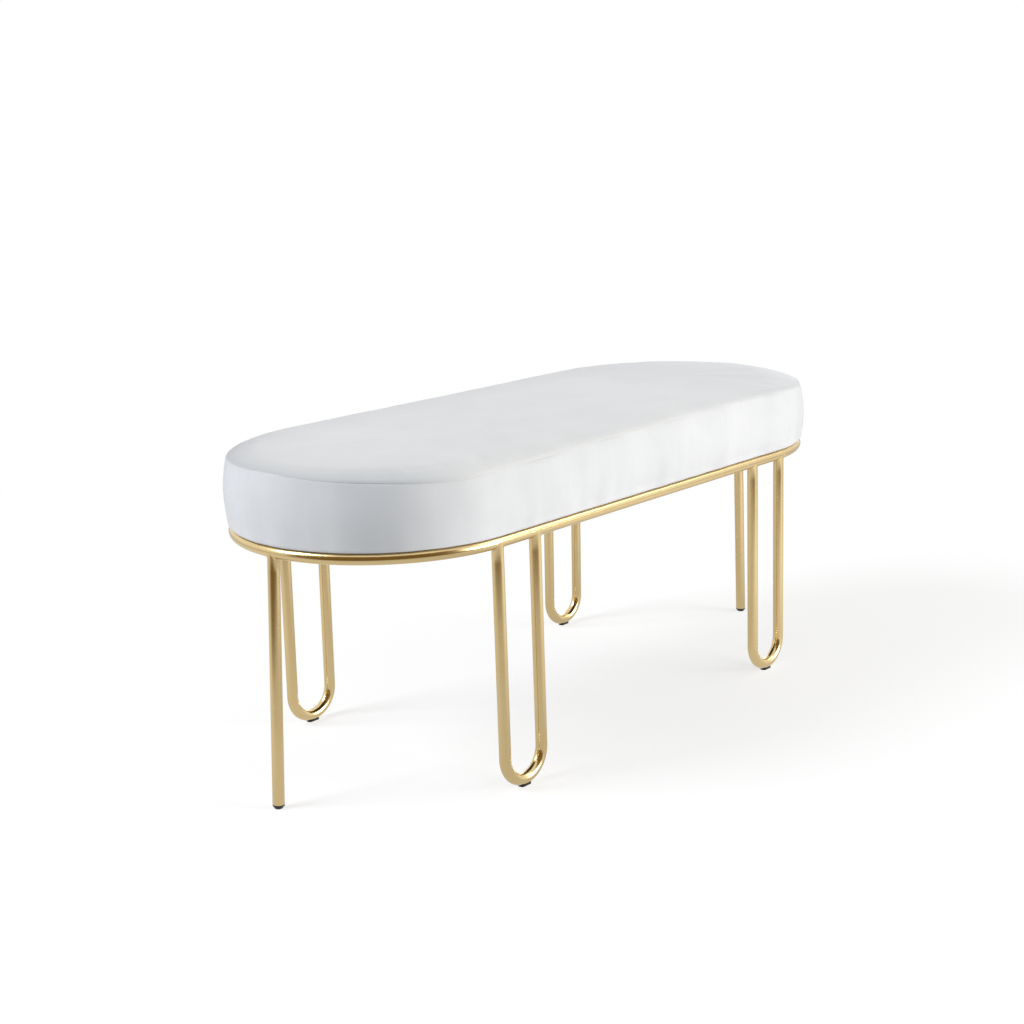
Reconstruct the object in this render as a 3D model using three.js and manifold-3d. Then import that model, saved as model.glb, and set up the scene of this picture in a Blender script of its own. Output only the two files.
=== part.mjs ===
// Upholstered bench: a boxed, stadium-shaped cushion on a round-tube rail that stands on
// four hairpin legs and two end posts. Millimetres, +Z up, X along the bench, front at -Y.
// The origin is on the floor under the middle of the seat.
import * as THREE from "three";
import { mergeVertices } from "three/addons/utils/BufferGeometryUtils.js";
import Module from "manifold-3d";

const wasm = await Module();
wasm.setup();

// Driving dimensions
const SEAT_HEIGHT = 450; // floor to the top of the crown
const STRAIGHT_LENGTH = 654; // straight run of the rail between its round ends
const RAIL_RADIUS = 202; // centreline of the round ends
const TUBE_DIAMETER = 16;
const TUBE_WALL = 1.5;
const FIT_GAP = 0.3; // between pieces that rest on each other

const HAIRPIN_SPACING = 74; // between the centrelines of a hairpin's two prongs
const HAIRPIN_SETBACK = 31; // from the end of the straight run to the hairpin's middle
const HAIRPIN_SPLAY = 3; // how far a hairpin's foot stands out beyond its top
const WELD_FILLET = 3;
const WELD_WIDTH_SHARE = 0.8; // of the tube's width, where the fillet fills the corner

const GLIDE_THICKNESS = 1.5; // rubber under the lowest point of a hairpin
const GLIDE_LENGTH = 20;
const GLIDE_WIDTH = 10;
const GLIDE_HEIGHT = 2.5;
const GLIDE_CORNER = 4;

const LEFT_POST_LEAN = 17.5; // how far an end post's foot stands out beyond its top
const RIGHT_POST_LEAN = 11;
const CAP_FLANGE = 5;
const CAP_RIM = 1; // straight edge of the flange, above its taper
const CAP_TAPER = 2.5; // how much the flange draws in towards the floor
const CAP_STEM = 18;
const CAP_STEM_POINT = 2; // lead-in at the stem's top
const CAP_STEM_RELIEF = 1; // between the stem's ribs and its core
const CAP_RIB = 2;
const CAP_RIB_COUNT = 2;

const TAB_LENGTH = 34; // from the rail's inner side to the tab's round end
const TAB_WIDTH = 24;
const TAB_THICKNESS = 3;
const TAB_FROM_MIDDLE = 150; // tabs on the straight sides, from the middle of the bench
const TAB_END_ANGLE = 50; // tabs on the round ends, degrees off the long axis
const TAB_HOLE_DIAMETER = 5.6;

const SCREW_DIAMETER = 4.4;
const SCREW_LENGTH = 16;
const SCREW_POINT = 4;
const SCREW_HEAD_DIAMETER = 9;
const SCREW_HEAD_HEIGHT = 3;
const SCREW_SLOT_WIDTH = 1.2;
const SCREW_SLOT_LENGTH = 5;
const SCREW_SLOT_DEPTH = 1.4;

const SEAM_INSET = 3; // the cushion's seam line, in from the rail's outer side
const DUST_COVER_THICKNESS = 0.7;
const DUST_COVER_MARGIN = 2; // beyond the rail's centreline
const COVER_THICKNESS = 1.5;
const HEM_WIDTH = 24; // cover fabric turned in under the board
const HEM_ROUND = 4; // outer radius where the band turns under
const BOARD_THICKNESS = 15;
const WADDING_THICKNESS = 5;
const WADDING_TRIM = 4; // the wadding stops this far above the board's underside
const FOAM_THICKNESS = 77.5; // at the crown
const CROWN_DROP = 2.5; // from the middle of the top to where its edge starts to round
const RIM_WIDTH = 11; // rounding of the foam's top edge, in plan
const RIM_DEPTH = 3.5; // the same rounding, in height
const SIDE_BULGE = 6; // the side's swell between the seam and the lower edge
const SIDE_FLARE = 3; // how far the lower edge stands out beyond the seam line
const SEAM_PINCH = 0.6; // how far the two panels dip in at their seam
const SEAM_ROUND = 1.6; // height over which each panel dips

// Facets
const END_STEPS = 20; // around a round end
const TUBE_SIDES = 16;
const BEND_STEPS = 14;
const CROWN_STEPS = 3;
const RIM_STEPS = 4;
const SIDE_STEPS = 6;
const HEM_STEPS = 3;
const WELD_STEPS = 4;
const GLIDE_STEPS = 3;
const ROUND_SIDES = 16;
const HOLE_SIDES = 12;
const OVERRUN = 2; // how far a cut runs past what it cuts
const MERGE_DISTANCE = 1e-4; // points nearer than this are one point

// Heights and radii that follow from them, from the crown down to the floor
const tubeRadius = TUBE_DIAMETER / 2;
const straightHalf = STRAIGHT_LENGTH / 2;
const waddingGrow = FIT_GAP + WADDING_THICKNESS;
const coverInnerGrow = waddingGrow + FIT_GAP;
const coverGrow = coverInnerGrow + COVER_THICKNESS;
const foamTop = SEAT_HEIGHT - coverGrow;
const foamZ = foamTop - FOAM_THICKNESS;
const boardZ = foamZ - FIT_GAP - BOARD_THICKNESS;
const hemZ = boardZ - FIT_GAP - COVER_THICKNESS;
const dustCoverZ = hemZ - FIT_GAP - DUST_COVER_THICKNESS;
const railTop = dustCoverZ - FIT_GAP;
const railZ = railTop - tubeRadius;
const tabZ = railTop - TAB_THICKNESS;
const seatRadius = RAIL_RADIUS + tubeRadius - SEAM_INSET;
const foamRadius = seatRadius - coverGrow;
const rimCentreZ = foamTop - CROWN_DROP - RIM_DEPTH; // where the side ends and the rim starts
const screwRadiusFromAxis = RAIL_RADIUS - tubeRadius - TAB_LENGTH + TAB_WIDTH / 2;
const hairpinX = straightHalf - HAIRPIN_SETBACK;
const hairpinLength = Math.hypot(railZ, HAIRPIN_SPLAY); // from the rail's centre to the floor
const bendRadius = HAIRPIN_SPACING / 2;
const bendZ = -hairpinLength + GLIDE_THICKNESS + tubeRadius + bendRadius; // from the rail's centre

const brass = new THREE.MeshStandardMaterial({ color: 0xc9a766, metalness: 1, roughness: 0.28 });
const velvet = new THREE.MeshStandardMaterial({ color: 0xdcdedf, metalness: 0, roughness: 0.9 });
const rubber = new THREE.MeshStandardMaterial({ color: 0x1b1b1c, metalness: 0, roughness: 0.7 });
const plywood = new THREE.MeshStandardMaterial({ color: 0xc8a878, metalness: 0, roughness: 0.75 });
const foam = new THREE.MeshStandardMaterial({ color: 0xe8dfb8, metalness: 0, roughness: 0.95 });
const fibre = new THREE.MeshStandardMaterial({ color: 0xf2f2ef, metalness: 0, roughness: 1 });
const cambric = new THREE.MeshStandardMaterial({ color: 0x202124, metalness: 0, roughness: 0.95 });
const zinc = new THREE.MeshStandardMaterial({ color: 0xb9bcc0, metalness: 1, roughness: 0.4 });

// A solid from any closed geometry, facing outwards whichever way its outline was drawn.
function solidOf(geometry) {
  const bare = geometry.index ? geometry.toNonIndexed() : geometry.clone();
  bare.deleteAttribute("normal");
  bare.deleteAttribute("uv");
  const merged = mergeVertices(bare, MERGE_DISTANCE);
  const corners = merged.index.array;
  const kept = [];
  for (let i = 0; i < corners.length; i += 3) {
    const [a, b, c] = corners.slice(i, i + 3);
    if (a !== b && b !== c && c !== a) kept.push(a, b, c);
  }
  const vertProperties = new Float32Array(merged.attributes.position.array);
  const build = (triVerts) =>
    new wasm.Manifold(new wasm.Mesh({ numProp: 3, vertProperties, triVerts }));
  const solid = build(new Uint32Array(kept));
  return solid.volume() > 0 ? solid : build(new Uint32Array(kept.reverse()));
}

function geometryOf(solid) {
  const { vertProperties, triVerts } = solid.getMesh();
  const geometry = new THREE.BufferGeometry();
  geometry.setAttribute("position", new THREE.BufferAttribute(vertProperties, 3));
  geometry.setIndex(new THREE.BufferAttribute(triVerts, 1));
  const faceted = geometry.toNonIndexed();
  faceted.computeVertexNormals();
  return faceted;
}

function meshOf(name, solid, material) {
  const mesh = new THREE.Mesh(geometryOf(solid), material);
  mesh.name = name;
  return mesh;
}

// The skin through a row of outlines. A row or an outline that is a ring joins its last to its
// first; a row that isn't a ring is capped at both ends.
function skin(row, rowIsRing, outlineIsRing = true) {
  const corners = [];
  const face = (...points) => points.forEach((p) => corners.push(p.x, p.y, p.z));
  const count = row[0].length;
  const sides = outlineIsRing ? count : count - 1;
  row.forEach((here, i) => {
    const next = row[i + 1] ?? (rowIsRing ? row[0] : null);
    if (!next) return;
    for (let j = 0; j < sides; j++) {
      const k = (j + 1) % count;
      face(here[j], here[k], next[k]);
      face(here[j], next[k], next[j]);
    }
  });
  if (!rowIsRing) {
    const [first, last] = [row[0], row[row.length - 1]];
    for (let j = 1; j < count - 1; j++) {
      face(first[0], first[j + 1], first[j]);
      face(last[0], last[j], last[j + 1]);
    }
  }
  const geometry = new THREE.BufferGeometry();
  geometry.setAttribute("position", new THREE.Float32BufferAttribute(corners, 3));
  return solidOf(geometry);
}

// Carries a profile of [distance from the long axis, height] round the stadium. A profile that
// starts and ends on the axis makes a filled shape, and one that is a ring makes a hoop.
function roundStadium(profile, profileIsRing = false) {
  const row = [];
  for (const end of [1, -1]) {
    for (let i = 0; i <= END_STEPS; i++) {
      const angle = Math.PI * (i / END_STEPS - 1 / 2) + (end < 0 ? Math.PI : 0);
      const [cos, sin] = [Math.cos(angle), Math.sin(angle)];
      const at = ([r, z]) => new THREE.Vector3(end * straightHalf + r * cos, r * sin, z);
      row.push(profile.map(at));
    }
  }
  return skin(row, true, profileIsRing);
}

// Points on an arc of [centre, height], from one angle to another in degrees. With a rise of its
// own the arc is part of an ellipse.
function arc([r, z], radius, from, to, steps, rise = radius) {
  return Array.from({ length: steps + 1 }, (_, i) => {
    const angle = THREE.MathUtils.degToRad(from + ((to - from) * i) / steps);
    return [r + radius * Math.cos(angle), z + rise * Math.sin(angle)];
  });
}

function cylinder(radius, low, high, sides = ROUND_SIDES) {
  const geometry = new THREE.CylinderGeometry(radius, radius, high - low, sides);
  geometry.rotateX(Math.PI / 2).translate(0, 0, (low + high) / 2);
  return solidOf(geometry);
}

// A turned piece about Z from its profile of [radius, height].
function turned(profile, sides = ROUND_SIDES) {
  const points = profile.map(([r, z]) => new THREE.Vector2(r, z));
  return solidOf(new THREE.LatheGeometry(points, sides).rotateX(Math.PI / 2));
}

// The rail, or with grow the space that it needs.
function railTube(grow = 0) {
  const round = arc([RAIL_RADIUS, railZ], tubeRadius + grow, 0, 360, TUBE_SIDES);
  return roundStadium(round.slice(0, -1), true);
}

const railSpace = railTube(FIT_GAP);

// The turn and shift that stand a leg under the rail. A leg is drawn upright with the rail's centre
// at the origin; its foot ends up [outX, outY] away from the point below its top.
function legPlace(x, y, outX, outY) {
  const group = new THREE.Group();
  group.position.set(x, y, railZ);
  group.rotation.set(Math.atan2(outY, railZ), -Math.atan2(outX, railZ), 0);
  group.updateMatrix();
  return group;
}

// A solid of the whole bench, seen from inside a place.
function seenFrom(place, solid) {
  return solid.transform(place.matrix.clone().invert().elements);
}

// Tube bent to a U: down one prong, round the bend, up the other. Local X runs from prong to prong.
function hairpinTube(radius) {
  const upright = (x) => ({ x, z: 0, angle: x < 0 ? 180 : 0 });
  const bend = arc([0, bendZ], bendRadius, 180, 360, BEND_STEPS);
  const middles = [
    upright(-bendRadius),
    ...bend.map(([x, z], i) => ({ x, z, angle: 180 + (180 * i) / BEND_STEPS })),
    upright(bendRadius),
  ];
  const row = middles.map(({ x, z, angle }) => {
    const outwards = THREE.MathUtils.degToRad(angle);
    return Array.from({ length: TUBE_SIDES }, (_, i) => {
      const turn = (2 * Math.PI * i) / TUBE_SIDES;
      const reach = radius * Math.cos(turn);
      const across = radius * Math.sin(turn);
      return new THREE.Vector3(
        x + reach * Math.cos(outwards),
        across,
        z + reach * Math.sin(outwards),
      );
    });
  });
  return skin(row, false);
}

// Weld metal in the two corners between a leg's end and the rail above it. The rail runs along
// local X here.
function weldFillet() {
  const corner = -tubeRadius;
  const profile = [
    [0, corner - WELD_FILLET],
    [tubeRadius, corner - WELD_FILLET],
    ...arc([tubeRadius + WELD_FILLET, corner - WELD_FILLET], WELD_FILLET, 180, 90, WELD_STEPS),
    [tubeRadius + WELD_FILLET, 0],
    [0, 0],
  ];
  const width = TUBE_DIAMETER * WELD_WIDTH_SHARE;
  const length = 2 * (tubeRadius + WELD_FILLET + OVERRUN);
  const band = solidOf(new THREE.BoxGeometry(length, width, length));
  return turned(profile, TUBE_SIDES).intersect(band);
}

function hairpinPlace(endSign, sideSign) {
  return legPlace(endSign * hairpinX, sideSign * RAIL_RADIUS, 0, sideSign * HAIRPIN_SPLAY);
}

function hairpinLeg(name, endSign, sideSign) {
  const place = hairpinPlace(endSign, sideSign);
  const welds = [-bendRadius, bendRadius].map((x) => weldFillet().translate([x, 0, 0]));
  const leg = hairpinTube(tubeRadius).add(welds[0]).add(welds[1]);
  place.add(meshOf(name, leg.subtract(seenFrom(place, railSpace)), brass));
  return place;
}

// A rectangle about the origin with round corners.
function roundedRectangle(length, width, corner) {
  const quarter = Math.PI / 2;
  const [x, y] = [length / 2 - corner, width / 2 - corner];
  const outline = new THREE.Shape();
  outline.absarc(x, y, corner, 0, quarter);
  outline.absarc(-x, y, corner, quarter, 2 * quarter);
  outline.absarc(-x, -y, corner, 2 * quarter, 3 * quarter);
  outline.absarc(x, -y, corner, 3 * quarter, 4 * quarter);
  return outline;
}

// Soft pad under the bend, hollowed to the tube it cradles.
function hairpinGlide(name, endSign, sideSign) {
  const outline = roundedRectangle(GLIDE_LENGTH, GLIDE_WIDTH, GLIDE_CORNER);
  const options = { depth: GLIDE_HEIGHT, bevelEnabled: false, curveSegments: GLIDE_STEPS };
  const block = solidOf(new THREE.ExtrudeGeometry(outline, options));
  const foot = [endSign * hairpinX, sideSign * (RAIL_RADIUS + HAIRPIN_SPLAY), 0];
  const { elements } = hairpinPlace(endSign, sideSign).matrix;
  const hollow = hairpinTube(tubeRadius + FIT_GAP).transform(elements);
  const mesh = meshOf(name, block.subtract(hollow.translate(foot.map((v) => -v))), rubber);
  mesh.position.set(...foot);
  return mesh;
}

function postPlace(endSign, lean) {
  return legPlace(endSign * (straightHalf + RAIL_RADIUS), 0, endSign * lean, 0);
}

function postLength(lean) {
  return Math.hypot(railZ, lean);
}

function endPost(name, endSign, lean) {
  const place = postPlace(endSign, lean);
  const bottom = -postLength(lean) + CAP_FLANGE + FIT_GAP;
  const weld = weldFillet().rotate([0, 0, 90]);
  const tube = cylinder(tubeRadius, bottom, 0, TUBE_SIDES).add(weld);
  const bore = cylinder(tubeRadius - TUBE_WALL, bottom - OVERRUN, OVERRUN, TUBE_SIDES);
  place.add(meshOf(name, tube.subtract(bore).subtract(seenFrom(place, railSpace)), brass));
  return place;
}

// Plastic foot pressed into the post: a tapered flange, flat on the floor, on a ribbed stem.
function postFootCap(name, endSign, lean) {
  const place = postPlace(endSign, lean);
  const floor = -postLength(lean);
  const rib = tubeRadius - TUBE_WALL - FIT_GAP;
  const core = rib - CAP_STEM_RELIEF;
  const flangeTop = floor + CAP_FLANGE;
  const ribStep = CAP_STEM / (CAP_RIB_COUNT + 1);
  const ribs = Array.from({ length: CAP_RIB_COUNT }, (_, i) => {
    const top = flangeTop + ribStep * (i + 1);
    return [
      [core, top - CAP_RIB],
      [rib, top - CAP_RIB / 2],
      [core, top],
    ];
  });
  const profile = [
    [0, floor - OVERRUN],
    [tubeRadius - CAP_TAPER, floor - OVERRUN],
    [tubeRadius - CAP_TAPER, floor],
    [tubeRadius, flangeTop - CAP_RIM],
    [tubeRadius, flangeTop],
    [core, flangeTop],
    ...ribs.flat(),
    [core, flangeTop + CAP_STEM - CAP_STEM_POINT],
    [core - CAP_STEM_POINT, flangeTop + CAP_STEM],
    [0, flangeTop + CAP_STEM],
  ];
  const depth = 4 * TUBE_DIAMETER;
  const ground = new THREE.BoxGeometry(depth, depth, depth);
  const below = solidOf(ground.translate(place.position.x, 0, -depth / 2));
  const cap = turned(profile, TUBE_SIDES).subtract(seenFrom(place, below));
  place.add(meshOf(name, cap, rubber));
  return place;
}

// Where the seat is screwed to the rail: a middle for each tab's screw and the way it faces.
const tabPlaces = [];
for (const end of [-1, 1]) {
  for (const side of [-1, 1]) {
    const half = Math.PI / 2;
    const angle = THREE.MathUtils.degToRad(TAB_END_ANGLE);
    tabPlaces.push({ x: end * TAB_FROM_MIDDLE, facing: side * half });
    tabPlaces.push({ x: end * straightHalf, facing: end > 0 ? side * angle : Math.PI - side * angle });
  }
}

function screwPoint({ x, facing }) {
  return [
    x + screwRadiusFromAxis * Math.cos(facing),
    screwRadiusFromAxis * Math.sin(facing),
  ];
}

// Flat steel tab, welded by its square end to the rail, with a hole near its round end.
function mountingTab(name, place) {
  const round = TAB_WIDTH / 2;
  const outer = RAIL_RADIUS - screwRadiusFromAxis;
  const outline = new THREE.Shape();
  outline.moveTo(outer, -round);
  outline.lineTo(outer, round);
  outline.lineTo(0, round);
  outline.absarc(0, 0, round, Math.PI / 2, 1.5 * Math.PI);
  const hole = new THREE.Path();
  hole.absarc(0, 0, TAB_HOLE_DIAMETER / 2, 0, 2 * Math.PI, true);
  outline.holes.push(hole);
  const options = { depth: TAB_THICKNESS, bevelEnabled: false, curveSegments: HOLE_SIDES };
  const plate = solidOf(new THREE.ExtrudeGeometry(outline, options));
  const group = new THREE.Group();
  group.position.set(...screwPoint(place), tabZ);
  group.rotation.z = place.facing;
  group.updateMatrix();
  group.add(meshOf(name, plate.subtract(seenFrom(group, railSpace)), brass));
  return group;
}

// Pan-head wood screw, driven up through its tab into the board.
function seatScrew(name, place) {
  const radius = SCREW_DIAMETER / 2;
  const head = SCREW_HEAD_DIAMETER / 2;
  const dome = SCREW_HEAD_HEIGHT / 2;
  const profile = [
    [0, -SCREW_HEAD_HEIGHT],
    [head - dome, -SCREW_HEAD_HEIGHT],
    [head - dome / 3, -SCREW_HEAD_HEIGHT + dome / 3],
    [head, -SCREW_HEAD_HEIGHT + dome],
    [head, 0],
    [radius, 0],
    [radius, SCREW_LENGTH - SCREW_POINT],
    [0, SCREW_LENGTH],
  ];
  const depth = 2 * SCREW_SLOT_DEPTH;
  const slot = (length, width) =>
    solidOf(new THREE.BoxGeometry(length, width, depth).translate(0, 0, -SCREW_HEAD_HEIGHT));
  const recess = slot(SCREW_SLOT_LENGTH, SCREW_SLOT_WIDTH).add(
    slot(SCREW_SLOT_WIDTH, SCREW_SLOT_LENGTH),
  );
  const mesh = meshOf(name, turned(profile, HOLE_SIDES).subtract(recess), zinc);
  mesh.position.set(...screwPoint(place), tabZ - FIT_GAP);
  return mesh;
}

// Clears every seat screw out of a sheet or board between two heights.
function screwHoles(solid, low, high) {
  return tabPlaces.reduce((left, place) => {
    const hole = cylinder(SCREW_DIAMETER / 2 + FIT_GAP, low, high, HOLE_SIDES);
    return left.subtract(hole.translate([...screwPoint(place), 0]));
  }, solid);
}

// The upholstered top, from the middle outwards: the foam's crown and rim, grown by what lies on it.
function crownAndRim(grow) {
  const rimCentre = foamRadius - RIM_WIDTH;
  const crown = Array.from({ length: CROWN_STEPS }, (_, i) => {
    const share = i / CROWN_STEPS;
    return [rimCentre * share, foamTop + grow - CROWN_DROP * share ** 2];
  });
  const rim = arc([rimCentre, rimCentreZ], RIM_WIDTH + grow, 90, 0, RIM_STEPS, RIM_DEPTH + grow);
  return [...crown, ...rim];
}

// The side's line from the rim to the board's underside: a swell, a little wider at its lower edge.
const sideLine = Array.from({ length: SIDE_STEPS + 1 }, (_, i) => {
  const share = i / SIDE_STEPS;
  const swell = SIDE_BULGE * Math.sin(Math.PI * share) + SIDE_FLARE * share ** 3;
  return [foamRadius + swell, rimCentreZ + (boardZ - rimCentreZ) * share];
});

// The side at one height, grown by what lies on it.
function sidePoint(grow, z) {
  const step = (rimCentreZ - boardZ) / SIDE_STEPS;
  const i = THREE.MathUtils.clamp(Math.floor((rimCentreZ - z) / step), 0, SIDE_STEPS - 1);
  const [[upperR, upperZ], [lowerR, lowerZ]] = sideLine.slice(i);
  return [grow + THREE.MathUtils.mapLinear(z, upperZ, lowerZ, upperR, lowerR), z];
}

function side(grow, high, low) {
  const between = sideLine.filter(([, z]) => z < high && z > low);
  return [sidePoint(grow, high), ...between.map(([r, z]) => [r + grow, z]), sidePoint(grow, low)];
}

function foamPad() {
  return roundStadium([...crownAndRim(0), ...side(0, rimCentreZ, foamZ).slice(1), [0, foamZ]]);
}

function seatBoard() {
  const top = boardZ + BOARD_THICKNESS;
  const edge = foamRadius + SIDE_FLARE;
  const plate = roundStadium([
    [0, boardZ],
    [edge, boardZ],
    [edge, top],
    [0, top],
  ]);
  return screwHoles(plate, boardZ - OVERRUN, tabZ + SCREW_LENGTH);
}

// Wadding over the foam and down past the board's edge.
function waddingWrap() {
  const low = boardZ + WADDING_TRIM;
  const outer = [...crownAndRim(waddingGrow), ...side(waddingGrow, rimCentreZ, low).slice(1)];
  const inner = [...crownAndRim(FIT_GAP), ...side(FIT_GAP, rimCentreZ, low).slice(1)];
  return roundStadium([...outer, ...inner.reverse()]);
}

// The top panel: over the crown and round the rim, its edge dipping in to the seam.
function coverTop() {
  const low = rimCentreZ - SEAM_ROUND;
  const outer = [
    ...crownAndRim(coverGrow),
    sidePoint(coverGrow - SEAM_PINCH / 4, low + SEAM_ROUND / 2),
    sidePoint(coverGrow - SEAM_PINCH, low),
  ];
  const inner = [...crownAndRim(coverInnerGrow), sidePoint(coverInnerGrow, low)];
  return roundStadium([...outer, ...inner.reverse()]);
}

// The side band: from the seam down the side, round the lower edge and in under the board.
function coverBand() {
  const high = rimCentreZ - SEAM_ROUND - FIT_GAP;
  const low = hemZ + HEM_ROUND;
  const outer = side(coverGrow, high - SEAM_ROUND, low);
  const inner = side(coverInnerGrow, high, low);
  const [foot] = outer.at(-1);
  const hemEdge = foamRadius - HEM_WIDTH;
  const turn = [foot - HEM_ROUND, low];
  return roundStadium(
    [
      sidePoint(coverGrow - SEAM_PINCH, high),
      sidePoint(coverGrow - SEAM_PINCH / 4, high - SEAM_ROUND / 2),
      ...outer,
      ...arc(turn, HEM_ROUND, 0, -90, HEM_STEPS).slice(1),
      [hemEdge, hemZ],
      [hemEdge, hemZ + COVER_THICKNESS],
      ...arc(turn, HEM_ROUND - COVER_THICKNESS, -90, 0, HEM_STEPS).slice(0, -1),
      ...inner.reverse(),
    ],
    true,
  );
}

// Thin cloth that closes the underside, held between the board and the rail.
function dustCover() {
  const edge = RAIL_RADIUS + DUST_COVER_MARGIN;
  const top = dustCoverZ + DUST_COVER_THICKNESS;
  const sheet = roundStadium([
    [0, dustCoverZ],
    [edge, dustCoverZ],
    [edge, top],
    [0, top],
  ]);
  return screwHoles(sheet, dustCoverZ - OVERRUN, top + OVERRUN);
}

const bench = new THREE.Group();
bench.add(
  meshOf("seat_cover_top", coverTop(), velvet),
  meshOf("seat_cover_band", coverBand(), velvet),
  meshOf("wadding_wrap", waddingWrap(), fibre),
  meshOf("foam_pad", foamPad(), foam),
  meshOf("seat_board", seatBoard(), plywood),
  meshOf("dust_cover", dustCover(), cambric),
  meshOf("frame_rail", railTube(), brass),
);
const ends = [
  ["left", -1, LEFT_POST_LEAN],
  ["right", 1, RIGHT_POST_LEAN],
];
for (const [endName, endSign, lean] of ends) {
  bench.add(endPost(`end_post_${endName}`, endSign, lean));
  bench.add(postFootCap(`post_foot_cap_${endName}`, endSign, lean));
  for (const [sideName, sideSign] of Object.entries({ front: -1, back: 1 })) {
    bench.add(hairpinLeg(`hairpin_leg_${sideName}_${endName}`, endSign, sideSign));
    bench.add(hairpinGlide(`hairpin_glide_${sideName}_${endName}`, endSign, sideSign));
  }
}
tabPlaces.forEach((place, i) => {
  bench.add(mountingTab(`mounting_tab_${i + 1}`, place));
  bench.add(seatScrew(`seat_screw_${i + 1}`, place));
});

export default bench;
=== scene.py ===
import math

import bmesh
import bpy
import numpy as np
from mathutils import Matrix, Vector
from mathutils.kdtree import KDTree


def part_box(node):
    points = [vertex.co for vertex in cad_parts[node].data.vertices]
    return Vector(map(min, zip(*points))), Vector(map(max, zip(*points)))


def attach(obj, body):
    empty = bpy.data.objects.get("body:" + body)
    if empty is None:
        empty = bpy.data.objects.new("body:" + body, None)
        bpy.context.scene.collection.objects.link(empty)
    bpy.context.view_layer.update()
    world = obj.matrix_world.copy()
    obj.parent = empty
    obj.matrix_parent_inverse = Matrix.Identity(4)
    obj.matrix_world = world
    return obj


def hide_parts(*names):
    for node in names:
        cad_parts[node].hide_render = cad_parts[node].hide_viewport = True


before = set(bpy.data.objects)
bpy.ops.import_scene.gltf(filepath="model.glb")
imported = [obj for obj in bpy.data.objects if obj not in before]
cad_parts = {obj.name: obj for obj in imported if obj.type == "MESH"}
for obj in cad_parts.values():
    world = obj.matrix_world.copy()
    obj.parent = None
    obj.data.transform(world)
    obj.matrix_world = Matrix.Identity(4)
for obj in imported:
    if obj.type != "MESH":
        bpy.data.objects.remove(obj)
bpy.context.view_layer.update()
scene = bpy.context.scene
MM = 0.001

# The camera: where it stands round the bench, what it looks at and how long its lens is
CAMERA_AZIMUTH = -49.109
CAMERA_ELEVATION = 13.314
CAMERA_ROLL = -1.58
CAMERA_DISTANCE = 2462.1 * MM
CAMERA_TARGET = (-69.74 * MM, 0, 299.37 * MM)
CAMERA_LENS = 59.263
CAMERA_SENSOR = 36

# Sizes that the frame gives
rail_low, rail_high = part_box("frame_rail")
board_low, board_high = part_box("seat_board")
TUBE = (rail_high.z - rail_low.z) / 2
RAIL_Z = rail_high.z - TUBE
RING = rail_high.y - TUBE
STRAIGHT = rail_high.x - rail_high.y
SEAT_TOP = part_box("seat_cover_top")[1].z
HEM_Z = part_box("seat_cover_band")[0].z
FOAM_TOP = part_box("foam_pad")[1].z
BOARD_Z = board_low.z
CLOTH_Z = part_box("dust_cover")[0].z
CLOTH_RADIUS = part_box("dust_cover")[1].y
TAB_Z, TAB_TOP = (corner.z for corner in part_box("mounting_tab_1"))
PRONG_X = sum(corner.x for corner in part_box("hairpin_glide_front_right")) / 2
BEND_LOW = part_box("hairpin_leg_front_right")[0].z
GLIDE_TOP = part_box("hairpin_glide_front_right")[1].z

# The upholstery
COVER = 1.5 * MM
GAP = 0.3 * MM
PLY = 1.5 * MM
CROWN_DROP = 2.5 * MM
LONG_DROP = 2 * MM  # from the middle of the bench to its ends
SHOULDER_DROP = 3.2 * MM  # at the rim, where the cover is pulled round the ends
SHOULDER_WIDTH = 60 * MM
RIM_WIDTH = 11 * MM
RIM_DEPTH = 3.5 * MM
SIDE_BULGE = 6 * MM
SIDE_FLARE = 3 * MM
SEAM_PINCH = 0.7 * MM
SEAM_ROUND = 1.6 * MM
SEAM_SLIT = 0.1 * MM
HEM_WIDTH = 24 * MM
HEM_ROUND = 4 * MM
HEM_ROLL = 1.3 * MM  # how far the padded edge sinks over the rail
LAYERS = SEAT_TOP - FOAM_TOP
FOAM_RADIUS = board_high.y - SIDE_FLARE
SEAM_RADIUS = FOAM_RADIUS + LAYERS
RIM_Z = FOAM_TOP - CROWN_DROP - RIM_DEPTH
SEAM_Z = RIM_Z - SEAM_ROUND - GAP / 2
# How far the sewn seam wanders up or down: the share of the way round, from the middle of the back
# over the left end, and the lift there
SEAM_LIFTS = (
    (0.0, -1.5), (0.08, 1), (0.15, 3), (0.21, 7), (0.25, 8.5), (0.266, 5.9), (0.279, 3.1), (0.293, 1.3),
    (0.308, 0.4), (0.321, -1.8), (0.334, -4.4), (0.346, -5.3), (0.364, -3.2), (0.388, -2.5), (0.425, -1),
    (0.452, 1.3), (0.487, 1.4), (0.53, 3.7), (0.575, 4.6), (0.624, 2.2), (0.69, 0), (0.75, -1),
    (0.84, 2), (0.94, 0), (1.0, -1.5),
)
LOW = HEM_Z + HEM_ROUND
# Where the left end turns into the front: painted shade lies on the velvet beside it, and the seam dips
# deeper there
LEFT_FRONT_TURN = STRAIGHT + SEAM_RADIUS * math.radians(134)  # along the outline, from the back's middle
TURN_SHADE_HALF = 62 * MM
# Where painted shade darkens the velvet: a start and the width over which that comes up
RIM_SHADE = (SEAM_RADIUS - 42 * MM, 42 * MM)
END_SHADE = (STRAIGHT + 58 * MM, 55 * MM)
BACK_SHADE = (90 * MM, 100 * MM)
RIGHT_SHADE = (180 * MM, 200 * MM)
SLACK = 1.5 * MM  # how much lower the cover is cut than the stuffing lets it rest
SETTLE_VOXEL = 6 * MM  # the coarse cover that the cloth simulation moves
SETTLE_PRESSURE = 4
SETTLE_FRAMES = 20
SEWN_REACH = 4 * MM
SEAM_STITCHES = 820
CLOTH_STAPLES = 88

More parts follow.
